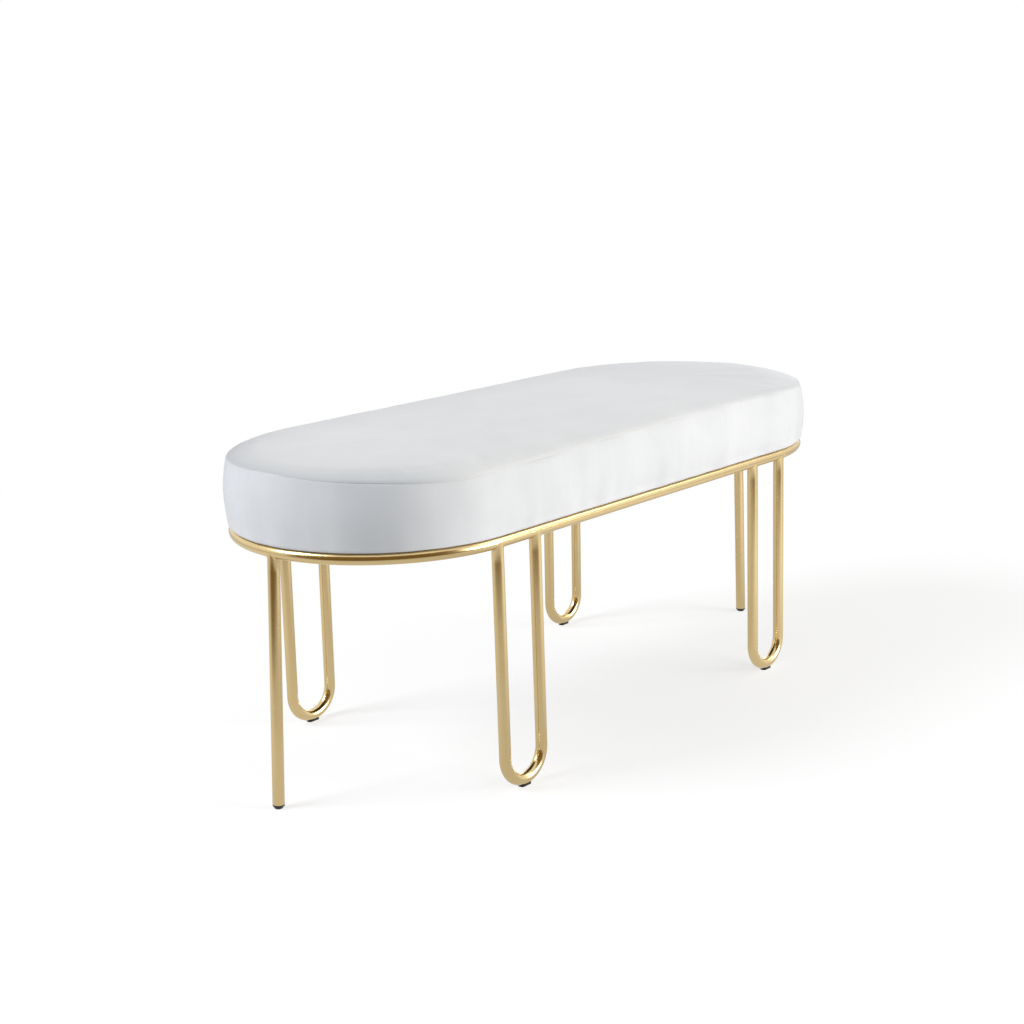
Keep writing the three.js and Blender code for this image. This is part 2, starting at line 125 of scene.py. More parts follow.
# The metalwork
HAIRPIN_SPACING = 74 * MM
HAIRPIN_SPLAY = 3 * MM
BEND = HAIRPIN_SPACING / 2
POST_LEANS = {-1: 17.5 * MM, 1: 11 * MM}
POST_BORE = TUBE - 1.5 * MM
WELD = 3 * MM
WELD_RIPPLES = 17  # round each leg
RAIL_BITE = 0.1 * MM  # how far what is welded on reaches into the rail
TUBE_SIDES = 40
RAIL_SIDES = 48
OUTLINE_STEPS = 322
BEND_STEPS = 48
LEG_START = 26 * MM  # below the rail's middle, where the leg is clear of its weld
BORE_DEPTH = 30 * MM
CAP_FLANGE = 5 * MM
SCREW_RADIUS = RING - 30 * MM
TAB_HALF = 12 * MM
TAB_HOLE = 2.8 * MM
TAB_FROM_MIDDLE = 150 * MM
TAB_END_ANGLE = math.radians(50)
ENDS = {"left": -1, "right": 1}
FRONTS = {"front": -1, "back": 1}


# What an operator does with two values of a node tree
def operator(operation, swapped=False):
    def apply(this, other):
        return this.board.maths(operation, *((other, this) if swapped else (this, other)))

    return apply


# One value in a node tree; Python's operators on it add Math nodes
class Signal:
    def __init__(self, board, socket):
        self.board = board
        self.socket = socket

    __add__ = __radd__ = operator("ADD")
    __mul__ = __rmul__ = operator("MULTIPLY")
    __sub__ = operator("SUBTRACT")
    __rsub__ = operator("SUBTRACT", swapped=True)
    __truediv__ = operator("DIVIDE")

    def clamped(self):
        return self.board.node("ShaderNodeClamp", {0: self})[0]

    # From 0 to 1, over a width from a start on
    def rising(self, start, width):
        return ((self - start) / width).clamped()


# A node tree that one method fills. Of the names given, those of sockets begin with a capital letter
# and those of settings with a small one. A socket may also be given by its number.
class Board:
    def __init__(self, tree):
        self.tree = tree
        tree.nodes.clear()

    def node(self, kind, numbered=None, **named):
        made = self.tree.nodes.new(kind)
        sockets = dict(numbered or {})
        for key, value in named.items():
            if key[0].isupper():
                sockets[key.replace("_", " ")] = value
            else:
                setattr(made, key, value)
        for key, value in sockets.items():
            if isinstance(value, Signal):
                self.tree.links.new(value.socket, made.inputs[key])
            else:
                made.inputs[key].default_value = value
        signals = [Signal(self, socket) for socket in made.outputs]
        return dict(enumerate(signals)) | {signal.socket.name: signal for signal in signals}

    def maths(self, operation, *values):
        return self.node("ShaderNodeMath", dict(enumerate(values)), operation=operation)[0]

    def vector_maths(self, operation, *values):
        return self.node("ShaderNodeVectorMath", dict(enumerate(values)), operation=operation)

    def axes(self, place):
        return self.node("ShaderNodeSeparateXYZ", {0: place})

    def light(self, colour, strength=1.0, kind="ShaderNodeEmission"):
        return self.node(kind, Color=colour, Strength=strength)[0]

    def blend(self, share, first, second):
        return self.node("ShaderNodeMixShader", {0: share, 1: first, 2: second})[0]


def grey(level):
    return level, level, level, 1


# The linear colour of red, green and blue from 0 to 255
def paint(*channels):
    shares = [c / 255 for c in channels]
    return (*(s / 12.92 if s <= 0.04045 else ((s + 0.055) / 1.055) ** 2.4 for s in shares), 1)


class Finish(Board):
    def __init__(self, name):
        self.material = bpy.data.materials.new(name)
        self.material.use_nodes = True
        super().__init__(self.material.node_tree)
        self.place = self.node("ShaderNodeTexCoord")["Object"]

    # Noise of one scale, or of one for each axis and then turned about Z
    def noise(self, scale, detail, turn=0, place=None):
        place = place or self.place
        if isinstance(scale, tuple):
            rotation = (0, 0, math.radians(turn))
            place = self.node("ShaderNodeMapping", Vector=place, Scale=scale, Rotation=rotation)[0]
            scale = 1
        return self.node("ShaderNodeTexNoise", Vector=place, Scale=scale, Detail=detail)[0]

    def cells(self, scale, **settings):
        return self.node("ShaderNodeTexVoronoi", Vector=self.place, Scale=scale, **settings)[0]

    def mix(self, share, first, second):
        return self.node("ShaderNodeMix", {0: share, 6: first, 7: second}, data_type="RGBA")[2]

    def bump(self, height, depth, strength, beneath=None):
        below = {"Normal": beneath} if beneath else {}
        return self.node("ShaderNodeBump", Height=height, Distance=depth, Strength=strength, **below)[0]

    def surface(self, **sockets):
        return self.output(self.node("ShaderNodeBsdfPrincipled", **sockets)[0])

    def output(self, shader):
        self.node("ShaderNodeOutputMaterial", Surface=shader)
        return self.material


# Cut pile: brushed patches, fine streaks along v of the cloth's own map, the pile's tips, and painted
# shade mixed into the colour
def velvet(name, dark, light, streak_share, painted_shade):
    f = Finish(name)
    cloth = f.node("ShaderNodeUVMap", uv_map="cloth")[0]
    strokes = f.noise((5.5, 7.7, 5.5), 4, 24) - 0.5
    patches = f.noise(21, 3) - 0.5
    streaks = f.noise((95, 7, 1), 3, place=cloth) - 0.5
    creases = f.noise((24, 3, 1), 2, place=cloth) - 0.5
    tone = 0.5 + strokes * 0.5 + patches * 0.4 + (streaks * 0.55 + creases * 0.8) * streak_share
    brushed = f.mix(tone.clamped(), dark, light)
    # Painted shade: the colour is mixed towards a darker grey where the painted shade mask gives it
    colour = f.mix(painted_shade(f, cloth), brushed, paint(194, 197, 201))
    tips = f.noise(1500, 2)
    lie = f.noise(160, 3)
    normal = f.bump(lie, 0.5 * MM, 0.22, f.bump(tips, 0.25 * MM, 0.35))
    return f.surface(
        Base_Color=colour, Roughness=0.86 + patches * 0.12, Normal=normal, Specular_IOR_Level=0.15,
        Sheen_Weight=0.6, Sheen_Roughness=0.36, Sheen_Tint=paint(252, 252, 255),
    )


# Polished and lacquered brass plate, a little uneven as hand-buffed tube is
def brass():
    f = Finish("brass_finish")
    cloud = f.noise(14, 3)
    buffing = f.noise(90, 3)
    grain = f.noise(900, 2)
    return f.surface(
        Base_Color=f.mix(cloud, paint(219, 193, 140), paint(228, 204, 154)),
        Metallic=1.0, Roughness=0.12 + buffing * 0.1 + grain * 0.05,
        Normal=f.bump(buffing, 0.06 * MM, 0.5, f.bump(grain, 0.01 * MM, 0.6)),
    )


def black_moulding(name, rough, pit_scale):
    f = Finish(name)
    scuffs = f.noise(120, 4)
    pits = f.cells(pit_scale)
    return f.surface(
        Base_Color=f.mix(scuffs, paint(19, 19, 20), paint(38, 38, 39)),
        Roughness=rough + scuffs * 0.2, Normal=f.bump(pits, 0.08 * MM, 0.5),
    )


# Veneers one above the other: the face shows its grain and the edge its plies
def plywood():
    f = Finish("plywood")
    height = f.axes(f.place)["Z"]
    ply = f.maths("SINE", (height - BOARD_Z) * (math.pi / PLY))
    grain = f.noise((9, 160, 90), 5)
    pores = f.noise((60, 1400, 700), 2)
    face = f.mix(grain, paint(186, 148, 101), paint(222, 191, 146))
    colour = f.mix((ply * 4 + 0.5).clamped() * 0.45, face, paint(140, 98, 60))
    pitted = f.bump(pores, 0.15 * MM, 0.5)
    return f.surface(Base_Color=colour, Roughness=0.62 + pores * 0.2, Normal=pitted)


def foam():
    f = Finish("foam")
    cells = f.cells(620, feature="SMOOTH_F1")
    age = f.noise(9, 3)
    return f.surface(
        Base_Color=f.mix(age, paint(226, 214, 168), paint(238, 230, 196)),
        Roughness=0.95, Normal=f.bump(cells, 0.6 * MM, 0.8),
    )


def wadding():
    f = Finish("wadding")
    tangle = f.noise((240, 240, 520), 5, 30)
    tufts = f.noise(32, 4)
    return f.surface(
        Base_Color=f.mix(tufts, paint(231, 231, 228), paint(247, 247, 245)),
        Roughness=0.97, Normal=f.bump(tangle, 1.2 * MM, 0.8), Sheen_Weight=0.3,
    )


# Spun-bonded cloth: a thin felt with a point-bonded grid
def dust_cloth():
    f = Finish("dust_cloth")
    bonds = f.cells(640)
    fibres = f.noise((300, 900, 300), 4, 40)
    return f.surface(
        Base_Color=f.mix(fibres, paint(27, 27, 29), paint(49, 49, 52)),
        Roughness=0.88 + fibres * 0.1, Sheen_Weight=0.15,
        Normal=f.bump(bonds, 0.15 * MM, 0.6, f.bump(fibres, 0.2 * MM, 0.5)),
    )


def steel(name, first, second, rough):
    f = Finish(name)
    spangle = f.cells(300)
    cloud = f.noise(60, 3)
    return f.surface(
        Base_Color=f.mix(spangle, first, second),
        Metallic=1.0, Roughness=rough + cloud * 0.2, Normal=f.bump(cloud, 0.05 * MM, 0.5),
    )


def thread():
    f = Finish("thread")
    twist = f.noise((2600, 2600, 5200), 2, 45)
    return f.surface(
        Base_Color=f.mix(twist, paint(176, 180, 184), paint(214, 217, 220)),
        Roughness=0.7, Normal=f.bump(twist, 0.05 * MM, 0.8),
    )


# Painted shade beside the place where the left end turns into the front
def painted_turn_shade(f, cloth):
    away = f.maths("ABSOLUTE", f.axes(cloth)["X"] - LEFT_FRONT_TURN).rising(0, TURN_SHADE_HALF)
    return 1 - away * away


# Painted shade on the top: darker at the rim, most of all on the round ends and beside the turn into
# the front. It is also painted darker towards the back and towards the right end.
def painted_top_shade(f, cloth):
    axes = f.axes(f.place)
    on_end = f.maths("ABSOLUTE", axes["X"]).rising(*END_SHADE)
    near_rim = f.axes(cloth)["Y"].rising(*RIM_SHADE)
    beyond = axes["Y"].rising(*BACK_SHADE) + axes["X"].rising(*RIGHT_SHADE)
    return near_rim * (on_end * 0.5 + painted_turn_shade(f, cloth) * 0.2) + beyond * 0.45


# Painted shade on the side band: beside the turn into the front, and a little towards the right end
def painted_band_shade(f, cloth):
    return painted_turn_shade(f, cloth) * 0.65 + f.axes(f.place)["X"].rising(*RIGHT_SHADE) * 0.15


# The top's copy is a touch less blue than the side's: a painted tint for how the light falls on the top
velvet_top = velvet("velvet_top", paint(204, 206, 206), paint(227, 228, 227), 0.1, painted_top_shade)
velvet_side = velvet("velvet_side", paint(204, 206, 208), paint(228, 229, 231), 0.35, painted_band_shade)
brass_finish = brass()
black_plastic = black_moulding("black_plastic", 0.38, 900)
black_rubber = black_moulding("black_rubber", 0.62, 1500)
zinc = steel("zinc_steel", paint(178, 182, 188), paint(206, 209, 213), 0.22)
staple_wire = steel("staple_wire", paint(150, 152, 156), paint(186, 188, 192), 0.25)


# A mesh through a grid of points. Its rows or its columns may be rings, and points that meet are merged.
def grid(points, rows_ring=True, columns_ring=False, u=None, v=None, sharp=None):
    rows, columns = points.shape[:2]
    i = np.arange(rows if rows_ring else rows - 1)
    j = np.arange(columns if columns_ring else columns - 1)
    i, j = (axis.ravel() for axis in np.meshgrid(i, j, indexing="ij"))
    corners = [(i, j), (i, j + 1), (i + 1, j + 1), (i + 1, j)]
    faces = np.stack([(a % rows) * columns + b % columns for a, b in corners], axis=1)
    mesh = bpy.data.meshes.new("shape")
    mesh.from_pydata(points.reshape(-1, 3).tolist(), [], faces.tolist())
    if u is not None:
        layer = mesh.uv_layers.new(name="cloth")
        pairs = np.stack([np.stack([u[a], v[b]], axis=1) for a, b in corners], axis=1)
        layer.data.foreach_set("uv", pairs.astype(np.float32).ravel())
    return closed(mesh, sharp)


# A mesh through rings of points, from one end to the other
def through_rings(rings, **settings):
    return grid(np.stack(rings).transpose(1, 0, 2), **settings)


# Merges what meets, caps open ends and turns the faces outwards
def closed(mesh, sharp=None):
    work = bmesh.new()
    work.from_mesh(mesh)
    bmesh.ops.remove_doubles(work, verts=work.verts, dist=1e-3 * MM)
    rims = [edge for edge in work.edges if edge.is_boundary]
    if rims:
        bmesh.ops.holes_fill(work, edges=rims, sides=0)
    if work.calc_volume(signed=True) < 0:
        bmesh.ops.reverse_faces(work, faces=work.faces)
    work.to_mesh(mesh)
    work.free()
    return shaded(mesh, sharp)


# Shades a mesh smooth, but for the edges sharper than an angle where one is given
def shaded(mesh, sharp=None):
    mesh.shade_smooth()
    if sharp is not None:
        mesh.set_sharp_from_angle(angle=math.radians(sharp))
    return mesh


def joined(meshes, sharp):
    work = bmesh.new()
    for mesh in meshes:
        work.from_mesh(mesh)
        bpy.data.meshes.remove(mesh)
    whole = bpy.data.meshes.new("whole")
    work.to_mesh(whole)
    work.free()
    return shaded(whole, sharp)


def placed(name, data):
    item = bpy.data.objects.new(name, data)
    scene.collection.objects.link(item)
    return item


# A piece that rides the bench, hiding the solids that it stands for
def piece(name, mesh, material, slot=None, *stands_for):
    item = placed(name, mesh)
    mesh.name = name
    mesh.materials.clear()
    mesh.materials.append(material)
    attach(item, "root")
    if stands_for:
        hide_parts(*stands_for)
    return item


# The mesh that an object's modifiers make of it
def evaluated(item):
    graph = bpy.context.evaluated_depsgraph_get()
    return bpy.data.meshes.new_from_object(item.evaluated_get(graph), depsgraph=graph)


def spots_of(mesh):
    spots = np.zeros(len(mesh.vertices) * 3)
    mesh.vertices.foreach_get("co", spots)
    return spots.reshape(-1, 3)


# How far from the seat's middle line, which joins the centres of its round ends
def from_middle(x, y):
    return np.hypot(np.maximum(np.abs(x) - STRAIGHT, 0), y)


# How far each point is along a row of them
def distances(points):
    steps = np.linalg.norm(np.diff(points, axis=0), axis=1)
    return np.concatenate([[0], np.cumsum(steps)])


def vector(*values):
    return np.array(values, float)


X, Y = np.eye(3)[:2]


# Angles evenly once round, and the unit ways at angles that two ways span
def turns(steps):
    return 2 * np.pi * np.arange(steps) / steps


def ways_round(turn, first=(1, 0), second=(0, 1)):
    return np.cos(turn)[:, None] * first + np.sin(turn)[:, None] * second


# Flat places, put at one height or at one each
def raised(flat, z):
    return np.column_stack([flat, np.broadcast_to(z, len(flat))])


# Stations once round the seat's outline, counterclockwise from the middle of the back
class Walk:
    def __init__(self, end_steps, straight_steps, extra=()):
        out = np.linspace(0, STRAIGHT, straight_steps // 2 + 1)[1:]
        out = np.unique(np.append(out, extra))
        turn = np.pi * np.arange(1, end_steps) / end_steps
        quarter = np.pi / 2
        half = np.concatenate([[0], -out, np.full(len(turn), -STRAIGHT), -out[::-1]])
        angle = np.concatenate([[quarter], 0 * out + quarter, quarter + turn, 0 * out + 3 * quarter])
        angle = np.append(angle, angle + np.pi)
        self.x = np.append(half, -half)
        self.normal = ways_round(angle)
        ring = self.at([(SEAM_RADIUS, 0)])[:, 0]
        self.u = distances(np.append(ring, ring[:1], axis=0))
        self.length = self.u[-1]
        self.round_share = np.clip(np.abs(angle % np.pi - quarter) / 0.35, 0, 1)[:, None]

    def at(self, profile):
        rho, z = np.array(profile, float).T
        x = self.x[:, None] + rho * self.normal[:, :1]
        y = rho * self.normal[:, 1:]
        return np.stack([x, y, np.broadcast_to(z, x.shape)], axis=2)

    # The same column of random waves every time, which joins up with itself round the seat
    def waves(self, seed, longest, shortest):
        rng = np.random.default_rng(seed)
        counts = rng.integers(int(self.length / longest), int(self.length / shortest), 26)
        phases = rng.uniform(0, 2 * np.pi, len(counts))
        angle = 2 * np.pi * self.u[:-1, None] / self.length
        return np.cos(angle * counts + phases).sum(axis=1, keepdims=True) / math.sqrt(len(counts) / 2)


# An arc with one radius, or with one across and one up
def arc(centre, radius, start, end, steps):
    ways = ways_round(np.radians(np.linspace(start, end, steps + 1)))
    return (np.array(centre) + np.array(radius) * ways).tolist()


# The stuffing's crown and rim from the middle outwards, grown by what lies on it
def crown_and_rim(grow, crown_steps=27, rim_steps=9, sink=0.0):
    rim = FOAM_RADIUS - RIM_WIDTH
    shares = 1 - (1 - np.arange(crown_steps) / crown_steps) ** 1.35
    crown = [(rim * s, FOAM_TOP + grow - CROWN_DROP * s**2 - sink) for s in shares]
    return crown + arc((rim, RIM_Z), (RIM_WIDTH + grow, RIM_DEPTH + grow - sink), 90, 0, rim_steps)


# The side below the rim: a swell, a little wider at its foot
def side_radius(z):
    share = (RIM_Z - z) / (RIM_Z - BOARD_Z)
    return FOAM_RADIUS + SIDE_BULGE * math.sin(math.pi * share) + SIDE_FLARE * share**3


def side(grow, high, low, steps):
    return [(side_radius(z) + grow, z) for z in np.linspace(high, low, steps + 1)]


# How far the seam is lifted at each share of the way round, smoothed
LIFT_STEPS = 2000
LIFT_BLUR = 0.007
lift_shares = np.arange(LIFT_STEPS) / LIFT_STEPS
lift_blur = np.exp(-((((lift_shares + 0.5) % 1 - 0.5) / LIFT_BLUR) ** 2))
seam_lifts = np.interp(lift_shares, *np.array(SEAM_LIFTS).T) * MM
seam_lifts = np.fft.irfft(np.fft.rfft(seam_lifts) * np.fft.rfft(lift_blur / lift_blur.sum()), LIFT_STEPS)


# The whole cushion departs from its even shape: its top falls off towards both ends, and the seam
# wanders up and down along the side
def at_ease(points):
    x, y, z = np.moveaxis(points, -1, 0)
    out = np.abs(x)
    arc_length = math.pi * SEAM_RADIUS
    turn = np.arctan2(y, out - STRAIGHT)
    on_end = out > STRAIGHT
    along = np.where(on_end, STRAIGHT + (math.pi / 2 - turn) * SEAM_RADIUS, out)
    along = np.where((y < 0) & ~on_end, 2 * STRAIGHT + arc_length - out, along)
    round_way = 4 * STRAIGHT + 2 * arc_length
    share = np.mod(np.where(x < 0, along, round_way - along) / round_way, 1)
    lift = np.interp(share, lift_shares, seam_lifts, period=1)
    crown_edge = SEAT_TOP - CROWN_DROP
    high = np.clip((crown_edge - z) / (crown_edge - SEAM_Z), 0, 1)
    low = np.clip((z - LOW) / (SEAM_Z - LOW), 0, 1)
    shoulder = np.clip((from_middle(x, y) - SEAM_RADIUS) / SHOULDER_WIDTH + 1, 0, 1) ** 2
    pulled = np.where(on_end, np.clip((math.pi / 2 - np.abs(turn)) / 0.6, 0, 1), 0)
    pulled *= np.where(x < 0, np.clip(0.35 + y / SEAM_RADIUS, 0, 1), 1)
    fall = LONG_DROP * (x / (STRAIGHT + SEAM_RADIUS)) ** 2 + SHOULDER_DROP * shoulder * pulled
    fall *= np.clip((z - LOW) / (SEAT_TOP - LOW), 0, 1)
    return np.stack([x, y, z + lift * np.minimum(high, low) - fall], axis=-1)


# A panel of the cover as a shell: its outer and inner skin, each moved along its own normal by
# move(distance from the seam), and then by the settled cloth. A profile of the band starts at the
# seam, and one of the top ends there.
def panel(name, node, outer, inner, move, material, is_band):
    skins = []
    for profile in (outer, inner):
        tangent = np.gradient(np.array(profile), axis=0)
        tangent /= np.linalg.norm(tangent, axis=1, keepdims=True)
        along = distances(profile)
        amount = move((along if is_band else along[-1] - along)[None, :])
        points = cover_walk.at(profile)
        points[:, :, :2] -= (amount * tangent[:, 1])[:, :, None] * cover_walk.normal[:, None, :]
        points[:, :, 2] += amount * tangent[:, 0]
        skins.append(points)
    points = at_ease(settled(np.concatenate([skins[0], skins[1][:, ::-1]], axis=1)))
    v = distances(outer + inner[::-1])
    if is_band:
        v = np.append(v, v[-1])
    mesh = grid(points, columns_ring=is_band, u=cover_walk.u, v=v)
    return piece(name, mesh, material, "velvet", node)


COVER_INNER = LAYERS - COVER
cut_sink = SLACK


# How a cover cut a little small settles over its stuffing: sewn along the seam and stapled below,
# it swells between them. The moves of the settled cloth are handed on to the finer panels.
def settle_cover():
    foot = side(LAYERS, SEAM_Z, LOW, 10)
    profile = crown_and_rim(LAYERS, 20, 4, cut_sink) + foot
    profile += arc((foot[-1][0] - HEM_ROUND, LOW), HEM_ROUND, 0, -90, 3)[1:] + [(0, HEM_Z)]
    body = placed("settling_cover", grid(Walk(60, 90).at(profile)))
    remesh = body.modifiers.new("remesh", "REMESH")
    remesh.mode = "VOXEL"
    remesh.voxel_size = SETTLE_VOXEL
    body.data = evaluated(body)
    body.modifiers.clear()
    rest = spots_of(body.data)
    sewn = from_middle(rest[:, 0], rest[:, 1]) > SEAM_RADIUS - 2 * SEWN_REACH
    sewn &= np.abs(rest[:, 2] - SEAM_Z) < SEWN_REACH
    held = sewn | (rest[:, 2] < LOW + 1 * MM)
    group = body.vertex_groups.new(name="held")
    group.add(np.flatnonzero(held).tolist(), 1.0, "REPLACE")
    cloth = body.modifiers.new("cloth", "CLOTH")
    cloth.settings.use_pressure = True
    cloth.settings.uniform_pressure_force = SETTLE_PRESSURE
    cloth.settings.vertex_group_mass = "held"
    cloth.settings.effector_weights.gravity = 0
    cloth.point_cache.frame_start = 1
    cloth.point_cache.frame_end = SETTLE_FRAMES
    for step in range(1, SETTLE_FRAMES + 1):
        scene.frame_set(step)
    moves = spots_of(evaluated(body)) - rest
    scene.frame_set(1)
    bpy.data.objects.remove(body)
    length = np.linalg.norm(moves, axis=1, keepdims=True)
    moves *= SLACK * np.tanh(length / SLACK) / np.maximum(length, 1e-9)
    tree = KDTree(len(rest))
    for index, spot in enumerate(rest):
        tree.insert(spot, index)
    tree.balance()

    def settled_points(points):
        flat = points.reshape(-1, 3)
        result = flat.copy()
        for index, spot in enumerate(flat):
            near = tree.find_n(spot, 6)
            weights = np.array([1 / (distance + 1 * MM) for _, _, distance in near])
            result[index] += weights @ moves[[found for _, found, _ in near]] / weights.sum()
        return result.reshape(points.shape)

    return settled_points


settled = settle_cover()
cover_walk = Walk(170, 170, extra=np.array([0.6, 1.2, 2, 3.5]) * MM)
cover_way = cover_walk.u[:-1, None]
seam_puckers = cover_walk.waves(11, 26 * MM, 11 * MM) * (0.35 + 0.65 * cover_walk.round_share)
edge_pulls = cover_walk.waves(12, 90 * MM, 34 * MM)
long_waves = cover_walk.waves(13, 420 * MM, 120 * MM)
pinched = np.exp(-(((cover_way - LEFT_FRONT_TURN - 12 * MM) / (95 * MM)) ** 2))
seam_fill = SEAM_PINCH * (0.62 - 0.1 * long_waves - 0.62 * pinched).clip(0, 0.8)
join_distance = np.minimum(cover_way, cover_walk.length - cover_way)


# The seam's dip is shallow but where the left end turns into the front
def filled(from_seam):
    return seam_fill * (1 - np.minimum(from_seam / SEAM_ROUND, 1)) ** 2.2


def top_moves(from_seam):
    pucker = 0.16 * MM * seam_puckers * np.exp(-from_seam / (7 * MM))
    wave = 0.35 * MM * long_waves * from_seam / (60 * MM) * np.exp(-from_seam / (60 * MM))
    return (pucker + wave) * np.minimum(from_seam / (2 * MM), 1) + filled(from_seam)


def side_moves(from_seam):
    below = np.clip((SEAM_Z - LOW) - from_seam, 0, None)
    pucker = 0.16 * MM * seam_puckers * np.exp(-from_seam / (9 * MM))
    pull = 0.42 * MM * edge_pulls * np.exp(-below / (24 * MM))
    wave = 0.4 * MM * long_waves
    join = 0.9 * MM * np.exp(-((join_distance / (1.3 * MM)) ** 2))
    fade = np.minimum(from_seam / (3 * MM), 1)
    under = np.clip((SEAM_Z - LOW + 8 * MM - from_seam) / (8 * MM), 0, 1)
    return ((pucker + pull + wave) * fade - join) * under + filled(from_seam)


# A panel dips in to its seam
def dip(start, seam, steps=5):
    shares = np.arange(1, steps + 1) / steps
    heights = start + (seam - start) * shares
    return [(side_radius(z) + LAYERS - SEAM_PINCH * s**2.2, z) for s, z in zip(shares, heights)]


low = SEAM_Z + SEAM_SLIT / 2
outer = crown_and_rim(LAYERS, rim_steps=14, sink=cut_sink) + dip(RIM_Z, low)
inner = crown_and_rim(COVER_INNER, 12, 7, cut_sink) + [(side_radius(low) + COVER_INNER, low)]
velvet_top_panel = panel(
    "velvet_top_panel", "seat_cover_top", outer, inner, top_moves, velvet_top, is_band=False
)


# The turn under the board, stretched down by the padded edge's roll
def hem_turn(radius, steps):
    stretch = (HEM_ROUND + HEM_ROLL) / HEM_ROUND
    return [(r, LOW + (z - LOW) * stretch) for r, z in arc(foot, radius, 0, -90, steps)[1:]]


# The side band, its lower edge turned under the board
high = SEAM_Z - SEAM_SLIT / 2
below_dip = high - SEAM_ROUND
outer = dip(below_dip, high)[::-1] + side(LAYERS, below_dip, LOW, 18)
foot = (outer[-1][0] - HEM_ROUND, LOW)
hem_edge = FOAM_RADIUS - HEM_WIDTH
outer += hem_turn(HEM_ROUND, 6) + [(CLOTH_RADIUS + 1.6 * MM, HEM_Z - HEM_ROLL)]
outer += [(CLOTH_RADIUS + 0.5 * MM, HEM_Z - 0.8 * MM), (CLOTH_RADIUS - 0.5 * MM, HEM_Z), (hem_edge, HEM_Z)]
inner = side(COVER_INNER, high, LOW, 9) + hem_turn(HEM_ROUND - COVER, 3)
inner += [(CLOTH_RADIUS + 0.5 * MM, HEM_Z + COVER), (hem_edge, HEM_Z + COVER)]
velvet_side_band = panel(
    "velvet_side_band", "seat_cover_band", outer, inner, side_moves, velvet_side, is_band=True
)


# The stuffing's outline from the crown's middle down to a foot, grown by what lies on it
def stuffing(grow, foot):
    return crown_and_rim(grow, 14, 5) + side(grow, RIM_Z, foot, 12)[1:]


stuffing_walk = Walk(48, 60)
WADDING_FOOT = BOARD_Z + 4 * MM
outer = stuffing(COVER_INNER - SLACK - GAP, WADDING_FOOT)
inner = stuffing(GAP, WADDING_FOOT)
points = stuffing_walk.at(outer + inner[::-1])
tufts = 0.2 * MM * stuffing_walk.waves(21, 60 * MM, 22 * MM)
points[:, len(crown_and_rim(0, 14, 5)):len(outer), :2] += (stuffing_walk.normal * tufts)[:, None, :]
wadding_layer = piece("wadding_layer", grid(at_ease(points)), wadding(), "wadding", "wadding_wrap")

foam_foot = BOARD_Z + (board_high.z - board_low.z) + GAP
foam_points = at_ease(stuffing_walk.at(stuffing(0, foam_foot) + [(0, foam_foot)]))
foam_core = piece("foam_core", grid(foam_points), foam(), "foam", "foam_pad")

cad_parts["seat_board"].material_slots[0].material = plywood()


# The named inputs of a tree that makes the seat's outline, and of one that copies a piece
OUTLINE = {"Radius": "Float", "Straight": "Float", "Height": "Float"}
COPIES = {"Piece": "Object", "Seed": "Int"}


# A Geometry Nodes tree with named inputs; grow() keeps what it makes as a plain mesh
class Growth(Board):
    def __init__(self, name, **inputs):
        self.group = bpy.data.node_groups.new(name, "GeometryNodeTree")
        super().__init__(self.group)
        face = self.group.interface
        face.new_socket("Geometry", in_out="OUTPUT", socket_type="NodeSocketGeometry")
        for label, kind in ({"Geometry": "Geometry"} | inputs).items():
            face.new_socket(label, in_out="INPUT", socket_type="NodeSocket" + kind)
        self.given = self.node("NodeGroupInput")

    def end(self, geometry):
        real = self.node("GeometryNodeRealizeInstances", {0: geometry})[0]
        self.node("NodeGroupOutput", {0: real})
        return self

    def grow(self, start=None, sharp=None, **values):
        host = placed("growth_start", start or bpy.data.meshes.new("growth_start"))
        modifier = host.modifiers.new("growth", "NODES")
        modifier.node_group = self.group
        for item in self.group.interface.items_tree:
            if item.in_out == "INPUT" and item.name in values:
                modifier[item.identifier] = values[item.name]
        mesh = evaluated(host)
        bpy.data.objects.remove(host)
        return shaded(mesh, sharp)

    def circle(self, steps, radius):
        kind = "GeometryNodeCurvePrimitiveCircle"
        return self.node(kind, mode="RADIUS", Resolution=steps, Radius=radius)[0]

    # A circle pulled apart along X, which makes the seat's outline
    def outline(self):
        circle = self.circle(OUTLINE_STEPS, self.given["Radius"])
        x = self.axes(self.node("GeometryNodeInputPosition")[0])["X"]
        shift = self.maths("SIGN", x) * self.given["Straight"]
        offset = self.node("ShaderNodeCombineXYZ", X=shift, Z=self.given["Height"])[0]
        return self.node("GeometryNodeSetPosition", Geometry=circle, Offset=offset)[0]

    # A number between two others, by chance
    def chance(self, least, most):
        sockets = {2: least, 3: most, 8: self.given["Seed"]}
        return self.node("FunctionNodeRandomValue", sockets, data_type="FLOAT")[1]

    # The given piece on every point, turned about Z
    def copies(self, points, facing):
        rotation = self.node("ShaderNodeCombineXYZ", Z=facing)[0]
        shape = self.node("GeometryNodeObjectInfo", Object=self.given["Piece"])["Geometry"]
        kind = "GeometryNodeInstanceOnPoints"
        return self.node(kind, Points=points, Instance=shape, Rotation=rotation)[0]


# Ring: the tube that the cushion rests on
def rail_growth():
    g = Growth("bent_tube", **OUTLINE, Tube="Float")
    section = g.circle(RAIL_SIDES, g.given["Tube"])
    return g.end(g.node("GeometryNodeCurveToMesh", {0: g.outline(), 1: section})[0])


rail_mesh = rail_growth().grow(Radius=RING, Straight=STRAIGHT, Height=RAIL_Z, Tube=TUBE)
piece("ring_rail", closed(rail_mesh), brass_finish, "brass_finish", "frame_rail")


# How high the rail's underside is above a point of the floor
def rail_underside(x, y):
    bite = TUBE - RAIL_BITE
    return RAIL_Z - np.sqrt(np.maximum(bite**2 - (from_middle(x, y) - RING) ** 2, 0))


